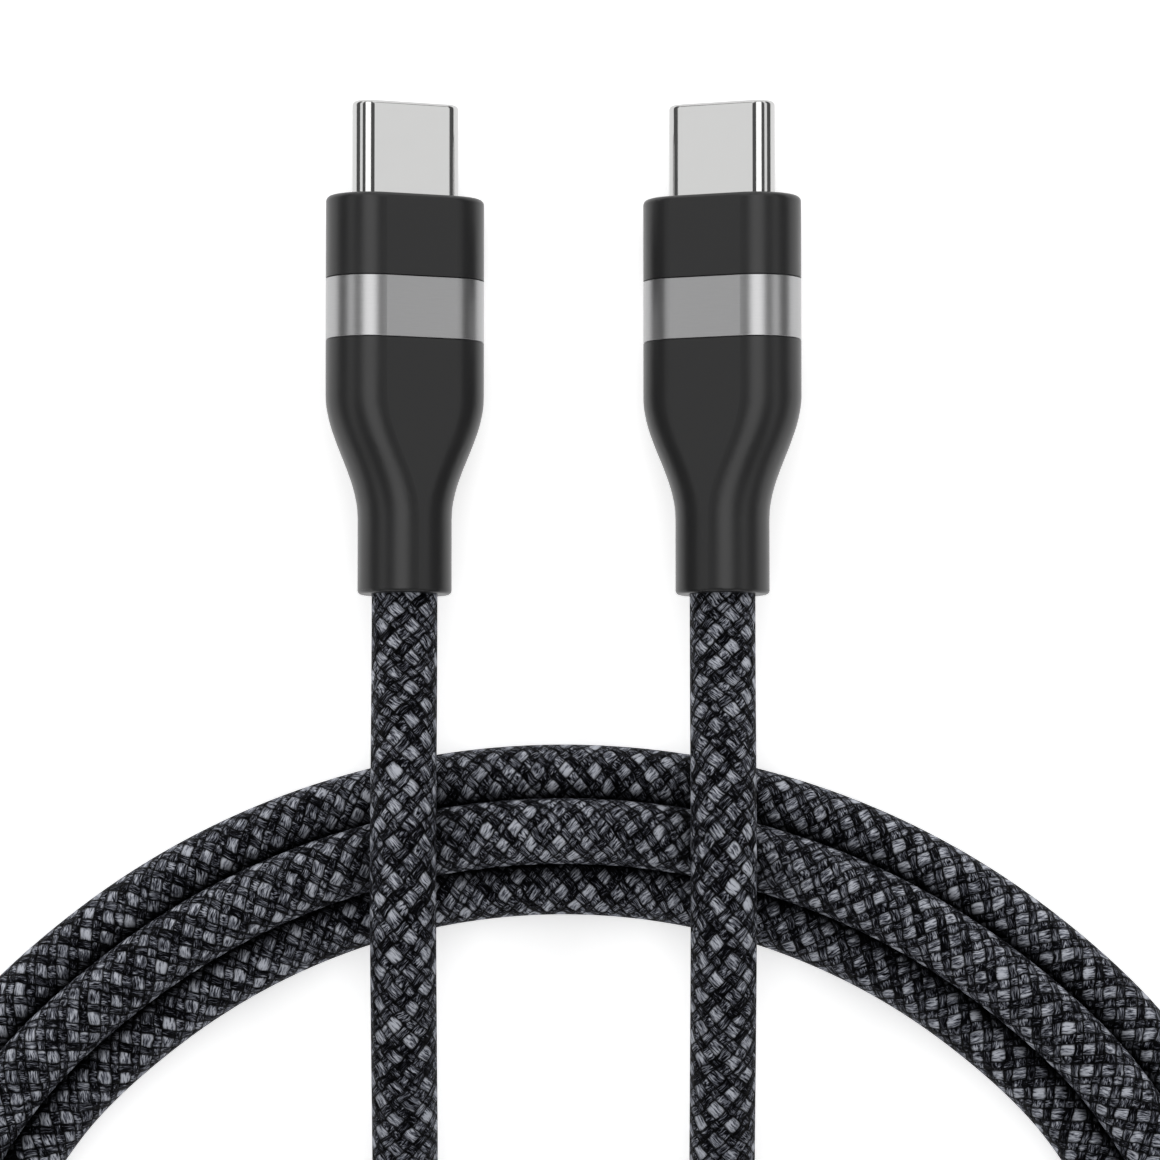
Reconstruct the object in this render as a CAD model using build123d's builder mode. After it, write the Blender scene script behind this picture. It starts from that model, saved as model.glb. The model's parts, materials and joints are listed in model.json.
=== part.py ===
from build123d import *
import os
from math import cos, pi, radians, sin, tan

# USB-C charging cable: two plugs on one braided cord, wound in three flat turns.
# Millimetres, +Z up. The origin is on the surface, midway between the two plugs' housings.
# A plug's own frame has its origin at the middle of the housing's front face, +Z out of the
# housing towards the tip, X across the plug's width and Y across its thickness.

# Where the plugs lie
PLUG_X = 11.6            # each plug's axis, left and right of the middle
FRONT_Y = 11.06          # middle of the housing's front face
FRONT_Z = 4.335
PITCH_DOWN = 4.0         # the tip points down by this angle, because the cord lifts the rear
ROLL = 24.0              # each plug is turned about its own axis, its top towards the other plug

# Metal shell: standard plug size
SHELL_WIDTH = 8.25
SHELL_THICKNESS = 2.4
SHELL_WALL = 0.25
SHELL_OUT = 7.0          # stands out of the housing
SHELL_TAIL = 3.0         # hidden inside the housing
LIP_DEPTH = 0.45         # inward-rolled edge of the mouth
LIP_WALL = 0.36
LIP_ROUND = 0.32
GAP = 0.02               # assembly clearance between fitted pieces

# Insulator, with the slot for the socket's tongue
INSULATOR_FRONT = 6.45
INSULATOR_BACK = -1.5
TONGUE_WIDTH = 6.8
TONGUE_GAP = 0.8
TONGUE_FLOOR = 0.9
SIDE_POCKET = (3.38, 4.2)        # X range of each latch pocket
SIDE_POCKET_HEIGHT = 0.72
SIDE_POCKET_SPAN = (0.3, 5.0)
SPRING_WINDOW = (0.9, 0.8)
SPRING_WINDOW_Y = 0.7
SPRING_WINDOW_SPAN = (5.05, 6.25)

# Contacts: twelve in each row
CONTACT_PITCH = 0.5
CONTACT_COUNT = 12
CONTACT_WIDTH = 0.22
CONTACT_SHEET = 0.1
# Y and Z along the upper row's sheet: from the root to the lead-in, and from the root to the board
CONTACT_BEAM = [(0.53, 1.06), (0.5, 2.6), (0.31, 4.1), (0.5, 4.75)]
CONTACT_TAIL = [(0.53, 1.04), (0.53, -1.9), (0.47, -2.3), (0.47, -3.4)]
CONTACT_GROOVE = (0.38, 0.86)    # Y range of the groove that each contact flexes in
CONTACT_GROOVE_WIDTH = 0.3
CONTACT_GROOVE_END = 4.95

# Mid plate and side latches
MID_PLATE = (7.2, 0.12)
MID_PLATE_SPAN = (-1.55, 0.25)
LATCH_ARM = [(3.53, 0.36), (3.53, 4.0), (3.25, 4.45), (3.48, 4.85)]   # X and Z, right side
LATCH_SHEET = 0.14
LATCH_HEIGHT = 0.56

# Ground springs near the mouth
SPRING_X = 1.3           # spacing of the four fingers in each row
SPRING_COUNT = 4
SPRING_WIDTH = 0.7
SPRING_SHEET = 0.08
SPRING_FINGER = [(0.84, 6.18), (0.78, 5.9), (0.4, 5.5), (0.56, 5.2)]  # Y and Z, upper row

# Circuit board and what it carries
BOARD = (7.2, 0.8)
BOARD_SPAN = (-8.6, -1.7)
CHIP = (2.6, 2.0, 0.6)
CHIP_Z = -4.6
CHIP_CHAMFER = 0.15
CAPACITOR = (0.5, 1.0, 0.4)
CAPACITOR_Z = -4.6
CAPACITOR_PLACES = [(2.2, 1), (-1.2, -1), (1.2, -1)]     # X, and the board's upper or lower face

# Wires: diameter, place on the board, place in the cable's core, Z of the end on the board
WIRES = {
    "power": (0.9, (2.4, 0.87), (0.9, 0.75), -7.0),
    "ground": (0.9, (-2.4, -0.87), (-0.9, -0.75), -7.0),
    "data_plus": (0.55, (-0.8, 0.7), (-0.4, 0.7), -7.4),
    "data_minus": (0.55, (-2.0, 0.7), (-1.1, 0.7), -7.4),
    "control": (0.55, (1.2, -0.7), (0.6, -0.7), -7.4),
}
WIRE_STRAIGHT = 0.5      # out of the core before the first bend
WIRE_BEND_Z = -9.4
WIRE_BEND_RADIUS = 0.4

# Shield can, cable crimp and inner mould
CAN = (8.8, 3.6)
CAN_SHEET = 0.2
CAN_SPAN = (-11.5, -2.0)
CORE_DIAMETER = 3.1      # inner jacket, under the braid
CORE_END = -10.8
CRIMP_SPAN = (-13.7, -11.8)
CRIMP_DIAMETER = 4.0
MOULD = (10.3, 4.8)
MOULD_SPAN = (-14.2, -0.8)

# Housing: front cover, metal band and rear cover
BODY_WIDTH = 12.0
BODY_THICKNESS = 6.5
BODY_LENGTH = 29.1
BAND_SPAN = (-10.6, -6.0)
SPIGOT = (11.3, 5.8)     # both covers' spigots, under the band
SPIGOT_JOINT = -8.3
TAPER_SPAN = (-23.6, -14.5)
TAPER_SECTIONS = 7
NECK_WIDTH = 6.9
FRONT_ROUND = 0.4
REAR_ROUND = 0.3
BAND_BEVEL = 0.1

# Cord
CORD_DIAMETER = 4.8
BRAID_END = -14.3        # where the braid stops inside the housing

# Coil: each turn is an oval of tangent arcs. Its top is the side nearest the plugs
COIL_CENTRE_Y = -87.8
TURN_TOP_RADIUS = 52.55
TURN_SHOULDER_RADIUS = 28.0
TURN_SWEEPS = (50.0, 49.0, 81.0)  # half the top arc, a shoulder, half the bottom arc
LANE = 3.85              # the two turns on the surface lie this far inside and outside the line
COIL_HEIGHT = 7.75
COIL_BEVEL = (4.9, 4.3)  # across and down, at the coil's top edges
COIL_FOOT_ROUND = 1.8

# The cord's free stretches, from each plug over the coil, down inside it and into its turns
LEAD_A = [
    (-11.6, -17.97, 6.365), (-11.6, -23.4, 6.745), (-11.6, -29.9, 8.95), (-11.6, -36.3, 10.5),
    (-11.6, -43.3, 10.3), (-11.6, -51.3, 7.75), (-11.6, -61.3, 3.9), (-11.7, -71.3, 2.4),
    (-11.7, -81.0, 2.4), (-11.0, -90.0, 2.4), (-7.8, -98.1, 2.4), (-1.9, -104.5, 2.4),
    (5.8, -108.3, 2.4), (14.4, -109.1, 2.4), (23.4, -106.3, 2.4),
]
LEAD_B = [
    (11.6, -17.97, 6.365), (11.6, -23.4, 6.745), (11.6, -29.9, 8.95), (11.6, -36.3, 10.5),
    (11.6, -43.3, 10.3), (11.6, -51.3, 7.75), (11.6, -61.3, 3.9), (11.7, -71.3, 2.4),
    (11.7, -81.0, 3.2), (11.0, -90.2, 4.8), (7.8, -98.3, 6.5), (1.9, -104.7, 7.35),
    (-5.8, -108.5, 7.45), (-14.4, -109.3, 7.45), (-23.4, -106.5, 7.35),
]
BEND_SHARE = 0.45        # of the shorter run at each corner, taken up by the corner's arc


def plug_frame(side):
    """The frame of the plug on the left (side -1) or on the right (side +1)."""
    axis = Vector(0, 1, 0).rotate(Axis.X, -PITCH_DOWN)
    across = Vector(-1, 0, 0).rotate(Axis((0, 0, 0), axis), -side * ROLL)
    return Plane(origin=(side * PLUG_X, FRONT_Y, FRONT_Z), x_dir=across, z_dir=axis)


def side_view(frame):
    """The plug's Y-Z plane: a sketch there has Y across and the plug's axis up."""
    return Plane(origin=frame.origin, x_dir=frame.y_dir, z_dir=frame.x_dir)


def top_view(frame):
    """The plug's X-Z plane: a sketch there has X across and the plug's axis up."""
    return Plane(origin=frame.origin, x_dir=frame.x_dir, z_dir=-frame.y_dir)


def slot(frame, start, width, thickness):
    """A full-round outline across the plug's axis."""
    with BuildSketch(frame.offset(start)) as outline:
        SlotOverall(width, thickness)
    return outline.sketch


def rows(frame, start, width, thickness, *places):
    """Equal rectangles across the plug's axis, one at each (x, y)."""
    with BuildSketch(frame.offset(start)) as outline:
        with Locations(*places):
            Rectangle(width, thickness)
    return outline.sketch


def disc(frame, start, diameter):
    """A circle across the plug's axis."""
    with BuildSketch(frame.offset(start)) as outline:
        Circle(diameter / 2)
    return outline.sketch


def spread(pitch, count):
    """Places on X at one pitch, centred on the plug's axis."""
    return [pitch * (i - (count - 1) / 2) for i in range(count)]


def length_of(span):
    return span[1] - span[0]


def make_shell(frame):
    """Drawn steel shell, its mouth rolled inwards."""
    with BuildPart() as shell:
        extrude(slot(frame, -SHELL_TAIL, SHELL_WIDTH, SHELL_THICKNESS), amount=SHELL_TAIL + SHELL_OUT)
        tip = shell.faces().sort_by(Axis(frame.origin, frame.z_dir))[-1]
        fillet(tip.edges(), LIP_ROUND)
        inside = slot(frame, -SHELL_TAIL, SHELL_WIDTH - 2 * SHELL_WALL, SHELL_THICKNESS - 2 * SHELL_WALL)
        extrude(inside, amount=SHELL_TAIL + SHELL_OUT - LIP_DEPTH, mode=Mode.SUBTRACT)
        lip_start = SHELL_OUT - LIP_DEPTH
        mouth = slot(frame, lip_start, SHELL_WIDTH - 2 * LIP_WALL, SHELL_THICKNESS - 2 * LIP_WALL)
        extrude(mouth, amount=LIP_DEPTH, mode=Mode.SUBTRACT)
    return shell


def make_insulator(frame):
    """Plastic block inside the shell, cut for the tongue, contacts, latches and springs."""
    width = SHELL_WIDTH - 2 * SHELL_WALL - 2 * GAP
    thickness = SHELL_THICKNESS - 2 * SHELL_WALL - 2 * GAP
    groove_y = sum(CONTACT_GROOVE) / 2
    grooves = [(x, y) for x in spread(CONTACT_PITCH, CONTACT_COUNT) for y in (-groove_y, groove_y)]
    pockets = [(x, 0) for x in (-sum(SIDE_POCKET) / 2, sum(SIDE_POCKET) / 2)]
    windows = [(x, y) for x in spread(SPRING_X, SPRING_COUNT) for y in (-SPRING_WINDOW_Y, SPRING_WINDOW_Y)]
    with BuildPart() as insulator:
        extrude(slot(frame, INSULATOR_BACK, width, thickness), amount=INSULATOR_FRONT - INSULATOR_BACK)
        tongue = rows(frame, TONGUE_FLOOR, TONGUE_WIDTH, TONGUE_GAP, (0, 0))
        extrude(tongue, amount=INSULATOR_FRONT - TONGUE_FLOOR, mode=Mode.SUBTRACT)
        groove = rows(frame, INSULATOR_BACK, CONTACT_GROOVE_WIDTH, length_of(CONTACT_GROOVE), *grooves)
        extrude(groove, amount=CONTACT_GROOVE_END - INSULATOR_BACK, mode=Mode.SUBTRACT)
        pocket = rows(frame, SIDE_POCKET_SPAN[0], length_of(SIDE_POCKET), SIDE_POCKET_HEIGHT, *pockets)
        extrude(pocket, amount=length_of(SIDE_POCKET_SPAN), mode=Mode.SUBTRACT)
        window = rows(frame, SPRING_WINDOW_SPAN[0], *SPRING_WINDOW, *windows)
        extrude(window, amount=length_of(SPRING_WINDOW_SPAN), mode=Mode.SUBTRACT)
        plate = rows(frame, INSULATOR_BACK, MID_PLATE[0] + 2 * GAP, MID_PLATE[1] + 2 * GAP, (0, 0))
        extrude(plate, amount=MID_PLATE_SPAN[1] + GAP - INSULATOR_BACK, mode=Mode.SUBTRACT)
    return insulator


def strips(planes, points, sheet, width):
    """Bent sheet strips: one thick line, drawn on each plane and as wide as the strip."""
    with BuildPart() as strip:
        with BuildSketch(*planes):
            with BuildLine():
                Polyline(*points)
            trace(line_width=sheet)
        extrude(amount=width / 2, both=True)
    return strip


def make_contacts(frame, up):
    """The twelve sprung contact beams of one row, from their root to the lead-in at the tip."""
    planes = [side_view(frame).offset(x) for x in spread(CONTACT_PITCH, CONTACT_COUNT)]
    return strips(planes, [(up * y, z) for y, z in CONTACT_BEAM], CONTACT_SHEET, CONTACT_WIDTH)


def make_contact_tails(frame, up):
    """The same contacts' fixed tails, through the insulator and down onto the circuit board."""
    planes = [side_view(frame).offset(x) for x in spread(CONTACT_PITCH, CONTACT_COUNT)]
    return strips(planes, [(up * y, z) for y, z in CONTACT_TAIL], CONTACT_SHEET, CONTACT_WIDTH)


def make_mid_plate(frame):
    """Grounding plate between the two contact rows."""
    with BuildPart() as plate:
        extrude(rows(frame, MID_PLATE_SPAN[0], *MID_PLATE, (0, 0)), amount=length_of(MID_PLATE_SPAN))
    return plate


def make_latch(frame, side):
    """One sprung side arm, with the hook that holds the plug in its socket."""
    return strips([top_view(frame)], [(side * x, z) for x, z in LATCH_ARM], LATCH_SHEET, LATCH_HEIGHT)


def make_ground_springs(frame, up):
    """Four short spring fingers of one row, which reach through the insulator's windows."""
    planes = [side_view(frame).offset(x) for x in spread(SPRING_X, SPRING_COUNT)]
    return strips(planes, [(up * y, z) for y, z in SPRING_FINGER], SPRING_SHEET, SPRING_WIDTH)


def make_circuit_board(frame):
    """Board that joins the contact tails to the cable's wires."""
    with BuildPart() as board:
        extrude(rows(frame, BOARD_SPAN[0], *BOARD, (0, 0)), amount=length_of(BOARD_SPAN))
    return board


def make_controller_chip(frame):
    """Cable identification chip on the board's upper face."""
    width, height, thickness = CHIP
    with BuildPart() as chip:
        body = rows(frame, CHIP_Z - height / 2, width, thickness, (0, (BOARD[1] + thickness) / 2))
        extrude(body, amount=height)
        chamfer(chip.edges().filter_by(Axis(frame.origin, frame.y_dir)), CHIP_CHAMFER)
    return chip


def make_capacitors(frame):
    """Three small capacitors: one beside the chip and two on the board's lower face."""
    width, height, thickness = CAPACITOR
    places = [(x, up * (BOARD[1] + thickness) / 2) for x, up in CAPACITOR_PLACES]
    with BuildPart() as capacitors:
        extrude(rows(frame, CAPACITOR_Z - height / 2, width, thickness, *places), amount=height)
    return capacitors


def make_wire(frame, diameter, pad, core, pad_end):
    """One wire from the cable's core, at the place core, to its pad on the board."""
    points = [(*core, CORE_END), (*core, CORE_END + WIRE_STRAIGHT), (*pad, WIRE_BEND_Z), (*pad, pad_end)]
    with BuildPart() as wire:
        with BuildLine() as path:
            FilletPolyline(*(frame.from_local_coords(point) for point in points), radius=WIRE_BEND_RADIUS)
        with BuildSketch(Plane(origin=path.wire() @ 0, z_dir=path.wire() % 0)):
            Circle(diameter / 2)
        sweep()
    return wire


def make_shield(frame, up):
    """Half of the steel can around the board: a tray with a plate at each end."""
    width, thickness = CAN
    with BuildPart() as shield:
        extrude(slot(frame, CAN_SPAN[0], width, thickness), amount=length_of(CAN_SPAN))
        inside = slot(frame, CAN_SPAN[0] + CAN_SHEET, width - 2 * CAN_SHEET, thickness - 2 * CAN_SHEET)
        extrude(inside, amount=length_of(CAN_SPAN) - 2 * CAN_SHEET, mode=Mode.SUBTRACT)
        shell_hole = slot(frame, -SHELL_TAIL, SHELL_WIDTH + 2 * GAP, SHELL_THICKNESS + 2 * GAP)
        extrude(shell_hole, amount=SHELL_TAIL, mode=Mode.SUBTRACT)
        extrude(disc(frame, CAN_SPAN[0], CORE_DIAMETER + 2 * GAP), amount=2 * CAN_SHEET, mode=Mode.SUBTRACT)
        above = frame.y_dir * up
        split(bisect_by=Plane(frame.origin + above * GAP, frame.x_dir, above), keep=Keep.TOP)
    return shield


def make_crimp_ring(frame):
    """Brass ring crimped round the inner jacket."""
    with BuildPart() as ring:
        extrude(disc(frame, CRIMP_SPAN[0], CRIMP_DIAMETER), amount=length_of(CRIMP_SPAN))
        extrude(disc(frame, CRIMP_SPAN[0], CORE_DIAMETER + 2 * GAP), amount=length_of(CRIMP_SPAN),
                mode=Mode.SUBTRACT)
    return ring


def make_inner_mould(frame):
    """Stiff plastic filling between the shield can, the crimp and the covers."""
    with BuildPart() as mould:
        extrude(slot(frame, MOULD_SPAN[0], *MOULD), amount=length_of(MOULD_SPAN))
        can = slot(frame, CAN_SPAN[0] - GAP, CAN[0] + 2 * GAP, CAN[1] + 2 * GAP)
        extrude(can, amount=MOULD_SPAN[1] - CAN_SPAN[0] + GAP, mode=Mode.SUBTRACT)
        extrude(disc(frame, MOULD_SPAN[0], CRIMP_DIAMETER + 2 * GAP), amount=length_of(MOULD_SPAN),
                mode=Mode.SUBTRACT)
    return mould


def make_front_cover(frame):
    """Front cover: a face plate around the shell, and a spigot under the band."""
    with BuildPart() as cover:
        extrude(slot(frame, BAND_SPAN[1], BODY_WIDTH, BODY_THICKNESS), amount=-BAND_SPAN[1])
        fillet(cover.faces().sort_by(Axis(frame.origin, frame.z_dir))[-1].edges(), FRONT_ROUND)
        extrude(slot(frame, SPIGOT_JOINT + GAP, *SPIGOT), amount=BAND_SPAN[1] - SPIGOT_JOINT - GAP)
        cavity = slot(frame, SPIGOT_JOINT, MOULD[0] + 2 * GAP, MOULD[1] + 2 * GAP)
        extrude(cavity, amount=MOULD_SPAN[1] - SPIGOT_JOINT, mode=Mode.SUBTRACT)
        shell_hole = slot(frame, SPIGOT_JOINT, SHELL_WIDTH + 2 * GAP, SHELL_THICKNESS + 2 * GAP)
        extrude(shell_hole, amount=-SPIGOT_JOINT, mode=Mode.SUBTRACT)
    return cover


def make_band(frame):
    """Flush metal band between the two covers."""
    with BuildPart() as band:
        extrude(slot(frame, BAND_SPAN[0], BODY_WIDTH, BODY_THICKNESS), amount=length_of(BAND_SPAN))
        ends = band.faces().sort_by(Axis(frame.origin, frame.z_dir))
        chamfer(ends[0].edges() + ends[-1].edges(), BAND_BEVEL)
        inside = slot(frame, BAND_SPAN[0], SPIGOT[0] + 2 * GAP, SPIGOT[1] + 2 * GAP)
        extrude(inside, amount=length_of(BAND_SPAN), mode=Mode.SUBTRACT)
    return band


def taper_width(share):
    """The rear cover's width, at this share of the way along its S-shaped taper."""
    return BODY_WIDTH - (BODY_WIDTH - NECK_WIDTH) * (1 - cos(pi * share)) / 2


def make_rear_cover(frame):
    """Rear cover, which narrows in an S to the neck that the cord comes out of."""
    with BuildPart() as cover:
        for i in range(TAPER_SECTIONS):
            share = i / (TAPER_SECTIONS - 1)
            with BuildSketch(frame.offset(TAPER_SPAN[1] - share * length_of(TAPER_SPAN))):
                SlotOverall(taper_width(share), BODY_THICKNESS)
        loft()
        extrude(slot(frame, TAPER_SPAN[1], BODY_WIDTH, BODY_THICKNESS), amount=BAND_SPAN[0] - TAPER_SPAN[1])
        extrude(slot(frame, -BODY_LENGTH, NECK_WIDTH, BODY_THICKNESS), amount=BODY_LENGTH + TAPER_SPAN[0])
        fillet(cover.faces().sort_by(Axis(frame.origin, frame.z_dir))[0].edges(), REAR_ROUND)
        extrude(slot(frame, BAND_SPAN[0], *SPIGOT), amount=SPIGOT_JOINT - GAP - BAND_SPAN[0])
        cavity = slot(frame, MOULD_SPAN[0] - GAP, MOULD[0] + 2 * GAP, MOULD[1] + 2 * GAP)
        extrude(cavity, amount=SPIGOT_JOINT - MOULD_SPAN[0] + GAP, mode=Mode.SUBTRACT)
        bore = disc(frame, -BODY_LENGTH, CORD_DIAMETER + 2 * GAP)
        extrude(bore, amount=BODY_LENGTH + MOULD_SPAN[0], mode=Mode.SUBTRACT)
    return cover


def make_cable_end(frame):
    """The cord's end inside the housing: full size, then stripped to its inner jacket."""
    with BuildPart() as cable:
        extrude(disc(frame, -BODY_LENGTH, CORD_DIAMETER), amount=BODY_LENGTH + BRAID_END)
        extrude(disc(frame, BRAID_END, CORE_DIAMETER), amount=CORE_END - BRAID_END)
    return cable


def corner_radii(points):
    """The largest arc that each corner's two runs allow."""
    radii = []
    for before, corner, after in zip(points, points[1:], points[2:]):
        run_in = Vector(corner) - Vector(before)
        run_out = Vector(after) - Vector(corner)
        half_turn = radians(run_in.get_angle(run_out)) / 2
        radii.append(BEND_SHARE * min(run_in.length, run_out.length) / tan(half_turn))
    return radii


def make_lead(points):
    """A free stretch of the cord: straight runs joined by tangent arcs."""
    with BuildPart() as lead:
        with BuildLine() as route:
            FilletPolyline(*points, radius=corner_radii(points))
        with BuildSketch(Plane(origin=route.wire() @ 0, z_dir=route.wire() % 0)):
            Circle(CORD_DIAMETER / 2)
        sweep()
    length = route.wire().length
    ideal = pi * CORD_DIAMETER ** 2 / 4 * length
    print("radii", [round(radius, 1) for radius in corner_radii(points)])
    print(f"length {length:.1f}, volume {lead.part.volume:.1f} of {ideal:.1f}")
    return lead


def turn_radii():
    """The radii of a turn's top, shoulder and bottom arcs; the last one closes the turn."""
    top, shoulder = TURN_TOP_RADIUS, TURN_SHOULDER_RADIUS
    bottom = shoulder + (top - shoulder) * sin(radians(TURN_SWEEPS[0])) / sin(radians(TURN_SWEEPS[2]))
    return top, shoulder, bottom


def turn_outline(lane):
    """One closed turn of tangent arcs, this far outside the coil's middle line."""
    place, heading = Vector(0, COIL_CENTRE_Y + TURN_TOP_RADIUS + lane), Vector(1, 0)
    with BuildSketch() as outline:
        with BuildLine():
            for radius, sweep_angle in zip(turn_radii(), TURN_SWEEPS):
                arc = JernArc(place, heading, radius + lane, -sweep_angle)
                place, heading = arc @ 1, arc % 1
            mirror(about=Plane.YZ)
        make_face()
    return outline.sketch


def make_coil():
    """Outer shape of the three wound turns: two on the surface and one on top, between them."""
    half_width = LANE + CORD_DIAMETER / 2
    with BuildPart() as coil:
        extrude(turn_outline(half_width), amount=COIL_HEIGHT)
        extrude(turn_outline(-half_width), amount=COIL_HEIGHT, mode=Mode.SUBTRACT)
        top = coil.faces().sort_by(Axis.Z)[-1]
        chamfer(top.edges(), COIL_BEVEL[0], COIL_BEVEL[1], reference=top)
        fillet(coil.faces().sort_by(Axis.Z)[0].edges(), COIL_FOOT_ROUND)
    return coil


def plug_pieces(frame):
    """Every piece of one plug, by name."""
    pieces = {
        "shell": make_shell(frame),
        "insulator": make_insulator(frame),
        "mid_plate": make_mid_plate(frame),
        "latch_left": make_latch(frame, -1),
        "latch_right": make_latch(frame, 1),
        "circuit_board": make_circuit_board(frame),
        "controller_chip": make_controller_chip(frame),
        "capacitors": make_capacitors(frame),
        "crimp_ring": make_crimp_ring(frame),
        "inner_mould": make_inner_mould(frame),
        "front_cover": make_front_cover(frame),
        "band": make_band(frame),
        "rear_cover": make_rear_cover(frame),
        "cable_end": make_cable_end(frame),
    }
    for name, wire in WIRES.items():
        pieces["wire_" + name] = make_wire(frame, *wire)
    for name, up in (("upper", 1), ("lower", -1)):
        pieces["contacts_" + name] = make_contacts(frame, up)
        pieces["contact_tails_" + name] = make_contact_tails(frame, up)
        pieces["ground_springs_" + name] = make_ground_springs(frame, up)
        pieces["shield_" + name] = make_shield(frame, up)
    return pieces


cable_pieces = {"lead_a": make_lead(LEAD_A), "lead_b": make_lead(LEAD_B), "coil": make_coil()}
for plug, side in (("plug_a", -1), ("plug_b", 1)):
    for name, piece in plug_pieces(plug_frame(side)).items():
        cable_pieces[plug + "_" + name] = piece

os.makedirs("parts", exist_ok=True)
for name, piece in cable_pieces.items():
    piece.part.label = name
    export_step(piece.part, f"parts/{name}.step")
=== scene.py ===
import json
from math import cos, pi, radians, sin, tau

import bpy
import numpy as np
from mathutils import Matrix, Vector


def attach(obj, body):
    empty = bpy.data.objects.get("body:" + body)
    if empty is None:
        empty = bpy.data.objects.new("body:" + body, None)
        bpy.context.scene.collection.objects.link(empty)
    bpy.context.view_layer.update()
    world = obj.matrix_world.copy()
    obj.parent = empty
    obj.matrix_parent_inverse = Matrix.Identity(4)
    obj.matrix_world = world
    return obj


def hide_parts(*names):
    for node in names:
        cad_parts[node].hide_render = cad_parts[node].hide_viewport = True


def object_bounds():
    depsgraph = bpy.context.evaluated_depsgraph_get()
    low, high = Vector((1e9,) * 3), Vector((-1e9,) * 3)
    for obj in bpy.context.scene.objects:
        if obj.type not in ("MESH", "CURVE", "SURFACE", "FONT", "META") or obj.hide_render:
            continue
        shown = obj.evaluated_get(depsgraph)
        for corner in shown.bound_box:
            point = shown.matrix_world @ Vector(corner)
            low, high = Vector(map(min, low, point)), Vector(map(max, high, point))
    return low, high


# A USB-C charging cable on a pale surface: two banded plugs on one braided cord, wound in three
# turns. Metres, +Z up, in the CAD frame.

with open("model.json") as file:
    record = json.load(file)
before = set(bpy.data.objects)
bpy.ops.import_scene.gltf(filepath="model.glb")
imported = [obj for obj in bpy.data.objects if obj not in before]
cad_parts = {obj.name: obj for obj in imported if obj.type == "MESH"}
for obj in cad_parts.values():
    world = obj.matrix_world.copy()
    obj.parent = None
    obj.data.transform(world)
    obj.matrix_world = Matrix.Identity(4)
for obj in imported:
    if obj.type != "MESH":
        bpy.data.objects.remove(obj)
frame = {"nodes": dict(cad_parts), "record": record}
cad_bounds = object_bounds()
scene = bpy.context.scene

# --- The cord's route, as in the CAD ---
CORD_DIAMETER = 0.0048
FLOOR_HEIGHT = CORD_DIAMETER / 2     # a turn's centreline when it lies on the surface
TOP_HEIGHT = FLOOR_HEIGHT + 0.00295  # and when it lies on two others
HUMP_HEIGHT = 0.0021                 # more than that, in a hump as it moves to the middle
END_HEIGHT = 0.0019                  # and at its end, before lead B passes over lead A

COIL_CENTRE_Y = -0.0878              # the centre of a turn's top arc, the one nearest the plugs
TURN_TOP_RADIUS = 0.05255
TURN_SHOULDER_RADIUS = 0.028
TURN_SWEEPS = (50.0, 49.0, 81.0)     # half the top arc, a shoulder, half the bottom arc
LANE = 0.00385                       # how far the inner and outer turns lie from the middle line
TURN_STEP = 15                       # degrees from one of a turn's points to the next

# degrees wound so far: where the leads join the turns, and where the cord changes lane or height
COIL_START, COIL_END = 45, 1035
TO_OUTER_LANE = (330, 410)
TO_MIDDLE = (670, 780)
CLIMB = (680, 725)
HUMP = (685, 790)
TO_INNER_LANE = (1000, 1050)
LAST_RISE = (995, COIL_END)

LEAD_A = [
    (-0.0116, -0.01797, 0.006365), (-0.0116, -0.0234, 0.006745), (-0.0116, -0.0299, 0.00895),
    (-0.0116, -0.0363, 0.0105), (-0.0116, -0.0433, 0.0103), (-0.0116, -0.0513, 0.00775),
    (-0.0116, -0.0613, 0.0039), (-0.0117, -0.0713, 0.0024), (-0.0117, -0.081, 0.0024),
    (-0.011, -0.09, 0.0024), (-0.0078, -0.0981, 0.0024), (-0.0019, -0.1045, 0.0024),
    (0.0058, -0.1083, 0.0024), (0.0144, -0.1091, 0.0024), (0.0234, -0.1063, 0.0024),
]
LEAD_B = [
    (0.0116, -0.01797, 0.006365), (0.0116, -0.0234, 0.006745), (0.0116, -0.0299, 0.00895),
    (0.0116, -0.0363, 0.0105), (0.0116, -0.0433, 0.0103), (0.0116, -0.0513, 0.00775),
    (0.0116, -0.0613, 0.0039), (0.0117, -0.0713, 0.0024), (0.0117, -0.081, 0.0032),
    (0.011, -0.0902, 0.0048), (0.0078, -0.0983, 0.0065), (0.0019, -0.1047, 0.00735),
    (-0.0058, -0.1085, 0.00745), (-0.0144, -0.1093, 0.00745), (-0.0234, -0.1065, 0.00735),
]

# --- The braid: twelve strands each way, over one and under one ---
STRANDS = 12
TUBE_SIDES = 40
LEAD_WEAVE, COIL_WEAVE = 0.00062, 0.00052  # the length of cord that one unit of u stands for
LEAD_LENGTH = 0.117                  # from a neck to the turns
WEAVE_CHANGES = (0.4, 0.8)           # between these shares of a lead's length
WIDER_SHARE = 0.34                   # 0 for even strands; above it, every other one is wider
STRAY, STRAY_SCALE = 1.3, 0.4        # how far strands stray from even spacing, and how often
STRAY_PLANES = (0.0, 50.0)           # far apart in the noise, so each family strays on its own
DIVE = 0.6                           # under 1, a strand stays up for longer before it dives
FIBRES, CLUMPS = (10.0, 1.6), (2.2, 1.1)  # the noise's scale across and along a strand
NOISE_SPREAD = 41.0                  # gives each crossing fibres of its own
# the share of pale fibres in the wider and in the narrower strands, one way and the other
PALE_FIRST, DARK_FIRST = 0.92, 0.34
PALE_SECOND, DARK_SECOND = 0.45, 0.32
PALE_VARIES = 0.6                    # from one crossing to the next
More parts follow.
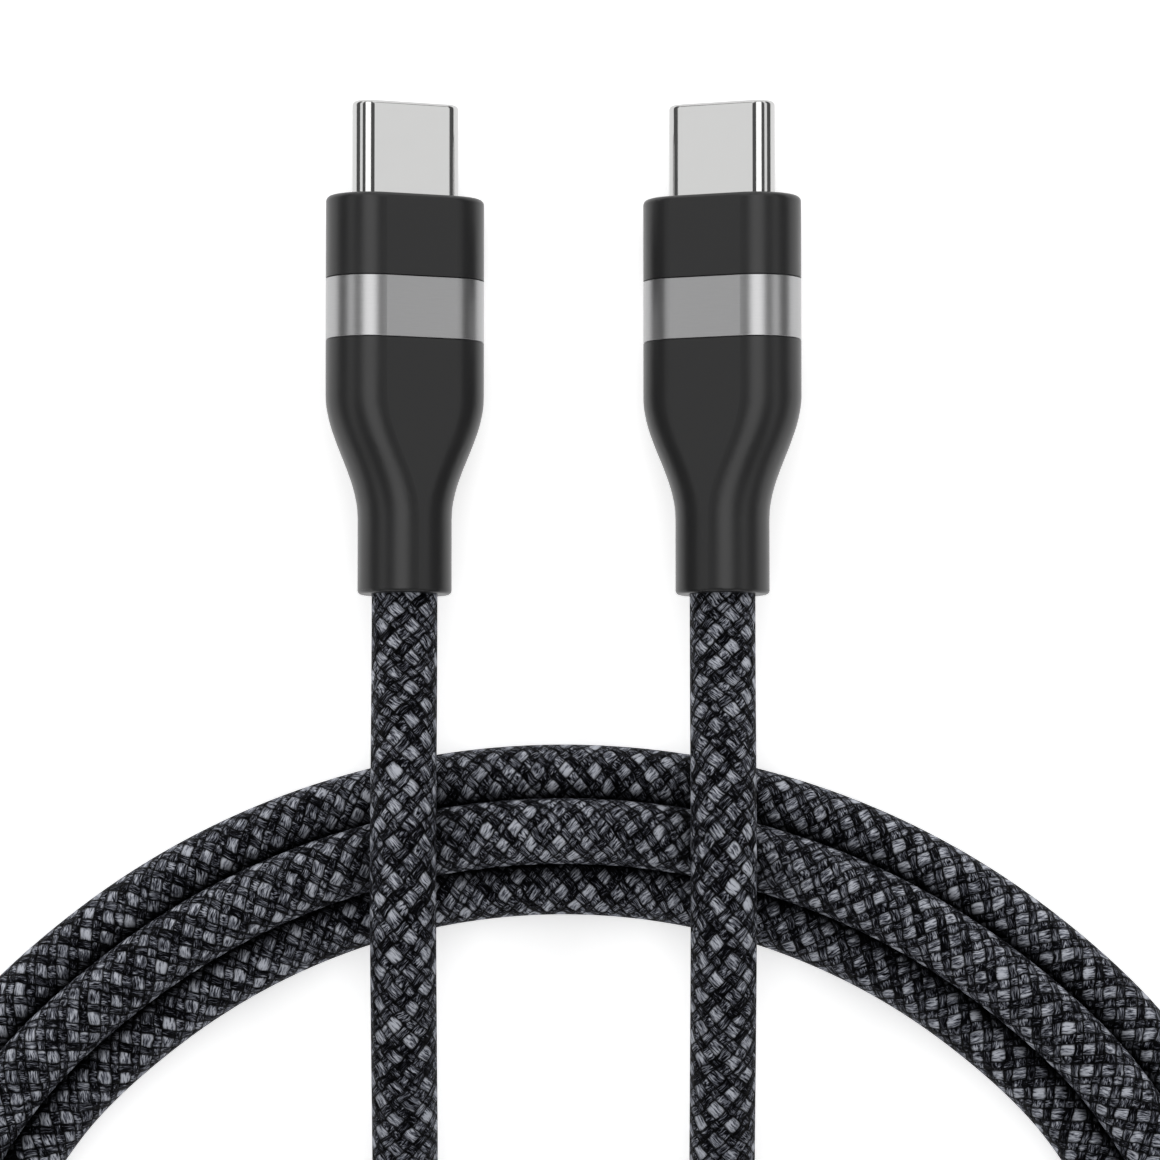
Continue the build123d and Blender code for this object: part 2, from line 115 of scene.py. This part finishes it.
# what each adds to the place on the yarn's ramp, and what is taken off to bring it in range
FIBRE_WEIGHT, CLUMP_WEIGHT, PALE_WEIGHT, RAMP_OFFSET = 1.5, 0.45, 0.30, 0.25

# ramps: places on the ramp, with the grey or the colour there
YARN = [
    (0.40, (0.001, 0.001, 0.002)), (0.49, (0.052, 0.054, 0.068)),
    (0.60, (0.17, 0.18, 0.215)), (0.78, (0.54, 0.56, 0.62)),
]
# painted shade: the yarn's colour is darkened at a strand's edges and where it dives under another
DIVE_SHADE = [(0.12, 0.04), (0.55, 1.0)]    # by the strand's height
# painted shade: the braid's colour is darkened in the creases where the cord's turns touch
CREASE_SHADE = [(0.30, 0.03), (0.85, 1.0)]  # by how open the place is to its surroundings
CREASE_REACH = 0.004
BRAID_RELIEF, FIBRE_RELIEF = 0.00022, 0.5   # a strand's height, and its fibres' as a share of it

# --- The studio ---
CAMERA_PLACE = (0.0012, COIL_CENTRE_Y + 0.0709, 0.4765)
PICTURE_MIDDLE = (0, -0.02, 0)
FLOOR_HALF, FLOOR_GAP = 2.5, 0.00002  # the gap keeps the floor clear of the lowest faces
FLOOR_GLOW, WORLD_GLOW = 0.56, 0.12


def add_camera():
    """Straight down on the plugs and the near part of the coil, from about half a metre."""
    data = bpy.data.cameras.new("camera")
    data.lens = 200
    data.sensor_width = 36
    data.clip_start = 0.01
    camera = bpy.data.objects.new("camera", data)
    scene.collection.objects.link(camera)
    camera.location = CAMERA_PLACE
    scene.camera = camera


# --- Cord ---

def share_of(value, start, end):
    """0 up to start, 1 from end on, and in proportion between them."""
    return min(1.0, max(0.0, (value - start) / (end - start)))


def ease(value, start, end):
    """As share_of, but flat at both ends."""
    t = share_of(value, start, end)
    return t * t * (3 - 2 * t)


def turn_lane(angle):
    """How far outside the coil's middle line the cord lies, and how high, at this angle wound so
    far. The first turn is the inner one, the second the outer one, and the third lies on both."""
    if angle <= TO_OUTER_LANE[0]:
        return -LANE, FLOOR_HEIGHT
    if angle <= TO_MIDDLE[0]:
        return LANE * (2 * ease(angle, *TO_OUTER_LANE) - 1), FLOOR_HEIGHT
    if angle <= HUMP[1]:
        hump = sin(pi * share_of(angle, *HUMP)) ** 2
        rise = (TOP_HEIGHT - FLOOR_HEIGHT) * ease(angle, *CLIMB)
        return LANE * (1 - ease(angle, *TO_MIDDLE)), FLOOR_HEIGHT + rise + HUMP_HEIGHT * hump
    return -LANE * ease(angle, *TO_INNER_LANE), TOP_HEIGHT + END_HEIGHT * ease(angle, *LAST_RISE)


def turn_point(angle, lane):
    """A point of a turn of tangent arcs, at this angle from its bottom, anticlockwise."""
    top, shoulder = TURN_TOP_RADIUS, TURN_SHOULDER_RADIUS
    half_top, half_shoulder, half_bottom = (radians(sweep) for sweep in TURN_SWEEPS)
    bottom = shoulder + (top - shoulder) * sin(half_top) / sin(half_bottom)
    shoulder_x = (top - shoulder) * sin(half_top)
    shoulder_y = COIL_CENTRE_Y + (top - shoulder) * cos(half_top)
    from_top = radians((360 - angle) % 360 - 180)
    side = 1 if from_top >= 0 else -1
    if abs(from_top) <= half_top:
        radius, x, y = top, 0, COIL_CENTRE_Y
    elif abs(from_top) <= half_top + half_shoulder:
        radius, x, y = shoulder, shoulder_x, shoulder_y
    else:
        radius, x, y = bottom, 0, shoulder_y + (bottom - shoulder) * cos(half_bottom)
    # the spline passes a control point at 3/4 of it and 1/8 of each neighbour, so a little inside
    reach = (radius + lane) / (0.75 + 0.25 * cos(radians(TURN_STEP)))
    return side * (x + reach * sin(abs(from_top))), y + reach * cos(from_top)


def cord_route():
    """Control points from plug A's neck, round the three turns, to plug B's neck."""
    points = list(LEAD_A)
    for angle in range(COIL_START, COIL_END + 1, TURN_STEP):
        lane, height = turn_lane(angle)
        points.append((*turn_point(angle, lane), height))
    return points + LEAD_B[::-1]


def centreline(points):
    """The points of the NURBS spline that the route's points control."""
    curve = bpy.data.curves.new("cord_route", "CURVE")
    curve.dimensions = "3D"
    curve.resolution_u = 24
    spline = curve.splines.new("NURBS")
    spline.points.add(len(points) - 1)
    for point, place in zip(spline.points, points):
        point.co = (*place, 1.0)
    spline.order_u = 3
    spline.use_endpoint_u = True
    holder = bpy.data.objects.new("cord_route", curve)
    scene.collection.objects.link(holder)
    line = bpy.data.meshes.new_from_object(holder)
    places = np.array([vertex.co[:] for vertex in line.vertices])
    bpy.data.objects.remove(holder)
    bpy.data.meshes.remove(line)
    return places


def carried_frames(line):
    """Two directions across the line at each point, carried along it without twist."""
    tangents = np.gradient(line, axis=0)
    tangents /= np.linalg.norm(tangents, axis=1)[:, None]
    side = np.array([1.0, 0.0, 0.0])
    sides = []
    for tangent in tangents:
        side = side - tangent * side.dot(tangent)
        side /= np.linalg.norm(side)
        sides.append(side)
    sides = np.array(sides)
    return sides, np.cross(tangents, sides)


def tube_places(line):
    """A ring of points round each point of the line."""
    sides, ups = carried_frames(line)
    angles = np.arange(TUBE_SIDES) / TUBE_SIDES * tau
    around = sides[:, None] * np.cos(angles)[:, None] + ups[:, None] * np.sin(angles)[:, None]
    return (line[:, None] + around * CORD_DIAMETER / 2).reshape(-1, 3)


def weave_along(travelled):
    """The weave's u at each point of the line. The coil's weave is tighter than the leads'."""
    start, end = (LEAD_LENGTH * share for share in WEAVE_CHANGES)
    in_coil = [ease(min(t, travelled[-1] - t), start, end) for t in travelled]
    weave = LEAD_WEAVE + (COIL_WEAVE - LEAD_WEAVE) * np.array(in_coil)
    return np.concatenate([[0], np.cumsum(np.diff(travelled) / weave[1:])])


def build_cord():
    """The braided cord: a smooth tube, whose UV map holds the weave's own coordinates, u along
    the cord and v round it. The material draws the strands from them."""
    line = centreline(cord_route())
    steps = np.linalg.norm(np.diff(line, axis=0), axis=1)
    travelled = np.concatenate([[0], np.cumsum(steps)])
    ring, corner = np.meshgrid(np.arange(len(line) - 1), np.arange(TUBE_SIDES), indexing="ij")
    following = (corner + 1) % TUBE_SIDES
    faces = np.stack([
        ring * TUBE_SIDES + corner, ring * TUBE_SIDES + following,
        (ring + 1) * TUBE_SIDES + following, (ring + 1) * TUBE_SIDES + corner,
    ], axis=-1).reshape(-1, 4)
    mesh = bpy.data.meshes.new("braided_cord")
    mesh.from_pydata(tube_places(line).tolist(), [], faces.tolist())

    along = weave_along(travelled)
    u = np.stack([along[ring], along[ring], along[ring + 1], along[ring + 1]], axis=-1)
    v = np.stack([corner, corner + 1, corner + 1, corner], axis=-1) * (2 * STRANDS / TUBE_SIDES)
    layer = mesh.uv_layers.new(name="weave")
    layer.data.foreach_set("uv", np.stack([u, v], axis=-1).ravel())
    mesh.polygons.foreach_set("use_smooth", np.ones(len(mesh.polygons), dtype=bool))

    cord = bpy.data.objects.new("braided_cord", mesh)
    scene.collection.objects.link(cord)
    mesh.materials.append(braid_material())
    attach(cord, "cable")
    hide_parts("lead_a", "lead_b", "coil")


# --- Materials ---

class Shader:
    """A material's node tree, with short calls for the nodes that the looks below need."""

    def __init__(self, name):
        self.material = bpy.data.materials.new(name)
        self.material.use_nodes = True
        self.tree = self.material.node_tree
        self.surface = self.tree.nodes["Principled BSDF"]

    def node(self, kind, **settings):
        made = self.tree.nodes.new(kind)
        for key, value in settings.items():
            setattr(made, key, value)
        return made

    def put(self, socket, value):
        """Links an output to an input, or sets the input's own value."""
        if isinstance(value, bpy.types.NodeSocket):
            self.tree.links.new(value, socket)
        elif value is not None:
            socket.default_value = value

    def math(self, operation, *values):
        made = self.node("ShaderNodeMath", operation=operation)
        for socket, value in zip(made.inputs, values):
            self.put(socket, value)
        return made.outputs[0]

    def add(self, first, second):
        return self.math("ADD", first, second)

    def subtract(self, first, second):
        return self.math("SUBTRACT", first, second)

    def multiply(self, first, second):
        return self.math("MULTIPLY", first, second)

    def swing(self, factor, size):
        """From -size/2 to size/2 as the factor goes from 0 to 1."""
        return self.multiply(self.subtract(factor, 0.5), size)

    def vector(self, x=0.0, y=0.0, z=0.0):
        made = self.node("ShaderNodeCombineXYZ")
        for socket, value in zip(made.inputs, (x, y, z)):
            self.put(socket, value)
        return made.outputs[0]

    def place(self, *scale):
        """The place in the CAD frame, stretched by scale."""
        made = self.node("ShaderNodeMapping")
        self.put(made.inputs["Vector"], self.node("ShaderNodeTexCoord").outputs["Object"])
        made.inputs["Scale"].default_value = scale
        return made.outputs[0]

    def noise(self, vector, scale=1.0, detail=2.0, roughness=0.5):
        made = self.node("ShaderNodeTexNoise")
        settings = {"Vector": vector, "Scale": scale, "Detail": detail, "Roughness": roughness}
        for name, value in settings.items():
            self.put(made.inputs[name], value)
        return made.outputs["Fac"]

    def ramp(self, factor, *stops):
        """A ramp of grey or coloured stops, each (position, value)."""
        made = self.node("ShaderNodeValToRGB")
        elements = made.color_ramp.elements
        while len(elements) < len(stops):
            elements.new(0.5)
        for element, (position, value) in zip(elements, stops):
            element.position = position
            element.color = (*(value if isinstance(value, tuple) else (value,) * 3), 1)
        self.put(made.inputs[0], factor)
        return made.outputs[0]

    def mix(self, factor, first, second, blend="MIX"):
        """Two colours mixed. The node has sockets for each kind of data, colours at 6, 7 and 2."""
        made = self.node("ShaderNodeMix", data_type="RGBA", blend_type=blend)
        self.put(made.inputs["Factor"], factor)
        for socket, value in ((made.inputs[6], first), (made.inputs[7], second)):
            self.put(socket, (*value, 1) if isinstance(value, tuple) else value)
        return made.outputs[2]

    def uneven_colour(self, factor, colour, palest):
        """The colour, from a tenth darker up to palest times as bright."""
        darker = tuple(c * 0.9 for c in colour)
        return self.mix(factor, darker, tuple(min(1.0, c * palest) for c in colour))

    def uneven_gloss(self, factor, roughness, change):
        """The roughness, changing by half of change each way."""
        return self.add(self.multiply(factor, change), roughness - change / 2)

    def bump(self, height, distance, strength=1.0):
        made = self.node("ShaderNodeBump")
        made.inputs["Strength"].default_value = strength
        made.inputs["Distance"].default_value = distance
        self.put(made.inputs["Height"], height)
        self.put(self.surface.inputs["Normal"], made.outputs[0])

    def set(self, **values):
        """Sets the surface's inputs, each named with _ for its spaces."""
        for name, value in values.items():
            if isinstance(value, tuple):
                value = (*value, 1)
            self.put(self.surface.inputs[name.replace("_", " ")], value)


def braid_material():
    """Two families of flat strands of mixed yarn, woven over one and under one. In each family
    every other strand is wider and paler, and the first family is the paler one."""
    s = Shader("braid")
    uv = s.node("ShaderNodeSeparateXYZ")
    s.put(uv.inputs[0], s.node("ShaderNodeUVMap", uv_map="weave").outputs[0])
    u, v = uv.outputs[0], uv.outputs[1]

    def strand_place(total):
        """Position across the strands of one family, with every other strand wider."""
        half = s.multiply(total, 0.5)
        wave = s.math("SINE", s.multiply(s.subtract(half, 0.5), pi))
        return s.subtract(half, s.multiply(wave, WIDER_SHARE / pi))

    def stray(plane):
        """How far a strand wanders from its even spacing."""
        return s.swing(s.noise(s.vector(u, v, plane), scale=STRAY_SCALE), STRAY)

    first = strand_place(s.add(s.add(v, u), stray(STRAY_PLANES[0])))
    second = strand_place(s.add(s.subtract(v, u), stray(STRAY_PLANES[1])))
    i, j = s.math("FLOOR", first), s.math("FLOOR", second)
    in_i, in_j = s.subtract(first, i), s.subtract(second, j)
    second_on_top = s.math("FLOORED_MODULO", s.add(i, j), 2.0)

    def choose(on_first, on_second):
        """The first value where the first family of strands is on top, else the second."""
        return s.add(s.multiply(on_second, second_on_top),
                     s.multiply(on_first, s.subtract(1.0, second_on_top)))

    across, along = choose(in_i, in_j), choose(in_j, in_i)
    narrow = s.math("FLOORED_MODULO", choose(i, j), 2.0)
    wrapped = s.math("FLOORED_MODULO", s.add(i, j), 2.0 * STRANDS)
    chance = s.node("ShaderNodeTexWhiteNoise")
    s.put(chance.inputs["Vector"], s.vector(s.subtract(i, j), wrapped, 0.0))
    luck = chance.outputs["Value"]

    # a strand is highest along its middle, halfway between two dives
    centred = s.subtract(s.multiply(across, 2.0), 1.0)
    crown = s.math("MAXIMUM", s.subtract(1.0, s.math("POWER", centred, 2.0)), 0.0)
    up = s.math("MAXIMUM", s.math("SINE", s.multiply(along, pi)), 0.0)
    height = s.multiply(crown, s.math("POWER", up, DIVE))

    seed = s.multiply(luck, NOISE_SPREAD)

    def strand_noise(scales, **settings):
        """Noise in the strand's own coordinates, different at each crossing."""
        place = s.vector(s.multiply(across, scales[0]), s.multiply(along, scales[1]), seed)
        return s.noise(place, **settings)

    fibres = strand_noise(FIBRES, detail=3.0, roughness=0.65)
    clumps = strand_noise(CLUMPS, detail=1.0)
    pale = s.add(choose(PALE_FIRST, PALE_SECOND), s.swing(luck, PALE_VARIES))
    darker = choose(PALE_FIRST - DARK_FIRST, PALE_SECOND - DARK_SECOND)
    pale = s.subtract(pale, s.multiply(narrow, darker))
    mixed = s.add(s.multiply(fibres, FIBRE_WEIGHT), s.swing(pale, PALE_WEIGHT))
    mixed = s.add(s.subtract(mixed, RAMP_OFFSET), s.swing(clumps, CLUMP_WEIGHT))

    # painted shade: the colour is darkened where the cord's own turns close in on it, in the
    # creases between them
    openness = s.node("ShaderNodeAmbientOcclusion", samples=8, only_local=True)
    openness.inputs["Distance"].default_value = CREASE_REACH
    painted_crease_shade = s.ramp(openness.outputs["AO"], *CREASE_SHADE)
    # painted shade at the strands' edges and dives, multiplied into the yarn's colour
    shaded = s.mix(1.0, s.ramp(mixed, *YARN), s.ramp(height, *DIVE_SHADE), blend="MULTIPLY")
    colour = s.mix(1.0, shaded, painted_crease_shade, blend="MULTIPLY")
    s.set(Base_Color=colour, Roughness=0.6, Specular_IOR_Level=0.04)
    s.bump(s.add(height, s.multiply(fibres, FIBRE_RELIEF)), BRAID_RELIEF)
    return s.material


def satin_plastic(name, colour, roughness=0.34, specular=0.5):
    """Fine-grained moulding: tiny spark-eroded grain, and a slow change of gloss."""
    s = Shader(name)
    grain = s.noise(s.place(1, 1, 1), scale=9000.0)
    slow = s.noise(s.place(1, 1, 1), scale=260.0)
    s.set(Base_Color=s.uneven_colour(slow, colour, palest=1.1),
          Roughness=s.uneven_gloss(slow, roughness, 0.08), Specular_IOR_Level=specular)
    s.bump(grain, distance=0.000004, strength=0.35)
    return s.material


def brushed_metal(name, colour, roughness):
    """Metal with fine lines across the plug's axis."""
    s = Shader(name)
    grain = s.noise(s.place(900.0, 16000.0, 900.0), detail=3.0, roughness=0.7)
    s.set(Base_Color=s.uneven_colour(grain, colour, palest=1.08), Metallic=1.0,
          Roughness=s.uneven_gloss(grain, roughness, 0.12))
    s.bump(grain, distance=0.000003, strength=0.5)
    return s.material


def polished_metal(name, colour, roughness):
    """Plated metal with faint handling marks."""
    s = Shader(name)
    marks = s.noise(s.place(1, 1, 1), scale=700.0, detail=4.0, roughness=0.6)
    s.set(Base_Color=colour, Metallic=1.0, Roughness=s.uneven_gloss(marks, roughness, 0.08))
    return s.material


def board_material():
    """Green solder mask over faint copper traces."""
    s = Shader("board")
    checks = s.node("ShaderNodeTexVoronoi", feature="DISTANCE_TO_EDGE")
    s.put(checks.inputs["Vector"], s.place(900, 500, 900))
    trace = s.ramp(checks.outputs[0], (0.05, 1.0), (0.09, 0.0))
    s.set(Base_Color=s.mix(trace, (0.012, 0.085, 0.03), (0.03, 0.16, 0.06)), Roughness=0.28)
    s.bump(trace, distance=0.00001, strength=0.6)
    return s.material


def finish_cad_nodes():
    """Every carried-over CAD node gets its finish from the record's slot for it."""
    finishes = {
        "housing": satin_plastic("housing", (0.0150, 0.0150, 0.0155), specular=0.44),
        "band": brushed_metal("band", (0.40, 0.40, 0.404), 0.32),
        "plug_shell": polished_metal("plug_shell", (0.54, 0.54, 0.536), 0.10),
        "insulator_plastic": satin_plastic("insulator_plastic", (0.02, 0.02, 0.021), 0.5),
        "contact_gold": polished_metal("contact_gold", (0.90, 0.66, 0.28), 0.2),
        "spring_steel": brushed_metal("spring_steel", (0.62, 0.61, 0.59), 0.26),
        "board": board_material(),
        "chip": satin_plastic("chip", (0.018, 0.018, 0.018), 0.5),
        "capacitor": satin_plastic("capacitor", (0.36, 0.22, 0.12), 0.4),
        "wire_red": satin_plastic("wire_red", (0.50, 0.02, 0.02), 0.3),
        "wire_black": satin_plastic("wire_black", (0.015, 0.015, 0.015), 0.3),
        "wire_green": satin_plastic("wire_green", (0.02, 0.26, 0.06), 0.3),
        "wire_white": satin_plastic("wire_white", (0.75, 0.75, 0.72), 0.3),
        "wire_blue": satin_plastic("wire_blue", (0.02, 0.07, 0.40), 0.3),
        "crimp": brushed_metal("crimp", (0.78, 0.58, 0.30), 0.3),
        "mould": satin_plastic("mould", (0.62, 0.61, 0.56), 0.45),
        "shield": brushed_metal("shield", (0.66, 0.65, 0.63), 0.3),
        "jacket": satin_plastic("jacket", (0.02, 0.02, 0.022), 0.6),
        "braid": None,  # on lead_a, lead_b and coil, which the braided cord replaces
    }
    for part in frame["record"]["subparts"]:
        finish = finishes[part["material_slot"]]
        if finish is None:
            continue
        for slot in frame["nodes"][part["node"]].material_slots:
            slot.material = finish


# --- Studio ---

def area_light(name, place, size, brightness):
    """A soft panel that faces the middle of the picture, as bright as this whatever its size."""
    data = bpy.data.lights.new(name, "AREA")
    data.shape = "RECTANGLE"
    data.size, data.size_y = size
    data.energy = brightness * pi * size[0] * size[1]
    light = bpy.data.objects.new(name, data)
    scene.collection.objects.link(light)
    light.location = place
    aim = Vector(PICTURE_MIDDLE) - Vector(place)
    light.rotation_euler = aim.to_track_quat("-Z", "Y").to_euler()


def build_floor():
    """Pale paper that glows a little, and so shows as a white ground."""
    mesh = bpy.data.meshes.new("floor")
    half = FLOOR_HALF
    corners = [(-half, -half, 0), (half, -half, 0), (half, half, 0), (-half, half, 0)]
    mesh.from_pydata(corners, [], [(0, 1, 2, 3)])
    floor = bpy.data.objects.new("floor", mesh)
    floor.location.z = cad_bounds[0][2] - FLOOR_GAP
    scene.collection.objects.link(floor)
    s = Shader("floor")
    paper = s.noise(s.place(1, 1, 1), scale=30.0)
    tone = s.mix(paper, (0.93, 0.93, 0.93), (0.95, 0.95, 0.95))
    s.set(Base_Color=tone, Roughness=0.9, Emission_Color=tone, Emission_Strength=FLOOR_GLOW)
    mesh.materials.append(s.material)


def build_studio():
    """The floor, a broad panel overhead, one on each side along the plugs, and a low one beyond
    each end of the cable."""
    build_floor()
    area_light("overhead", place=(0, 0.20, 0.75), size=(0.50, 1.3), brightness=1.9)
    for side in (-1, 1):
        area_light("side_panel", place=(side * 0.613, 0.12, 0.514), size=(1.5, 0.26),
                   brightness=1.06)
        area_light("low_panel", place=(0, side * 0.9, 0.22), size=(1.2, 0.3), brightness=1.6)
    world = bpy.data.worlds.new("studio")
    world.use_nodes = True
    background = world.node_tree.nodes["Background"]
    background.inputs["Color"].default_value = (1, 1, 1, 1)
    background.inputs["Strength"].default_value = WORLD_GLOW
    scene.world = world
    scene.view_settings.view_transform = "Standard"


add_camera()
build_cord()
finish_cad_nodes()
build_studio()
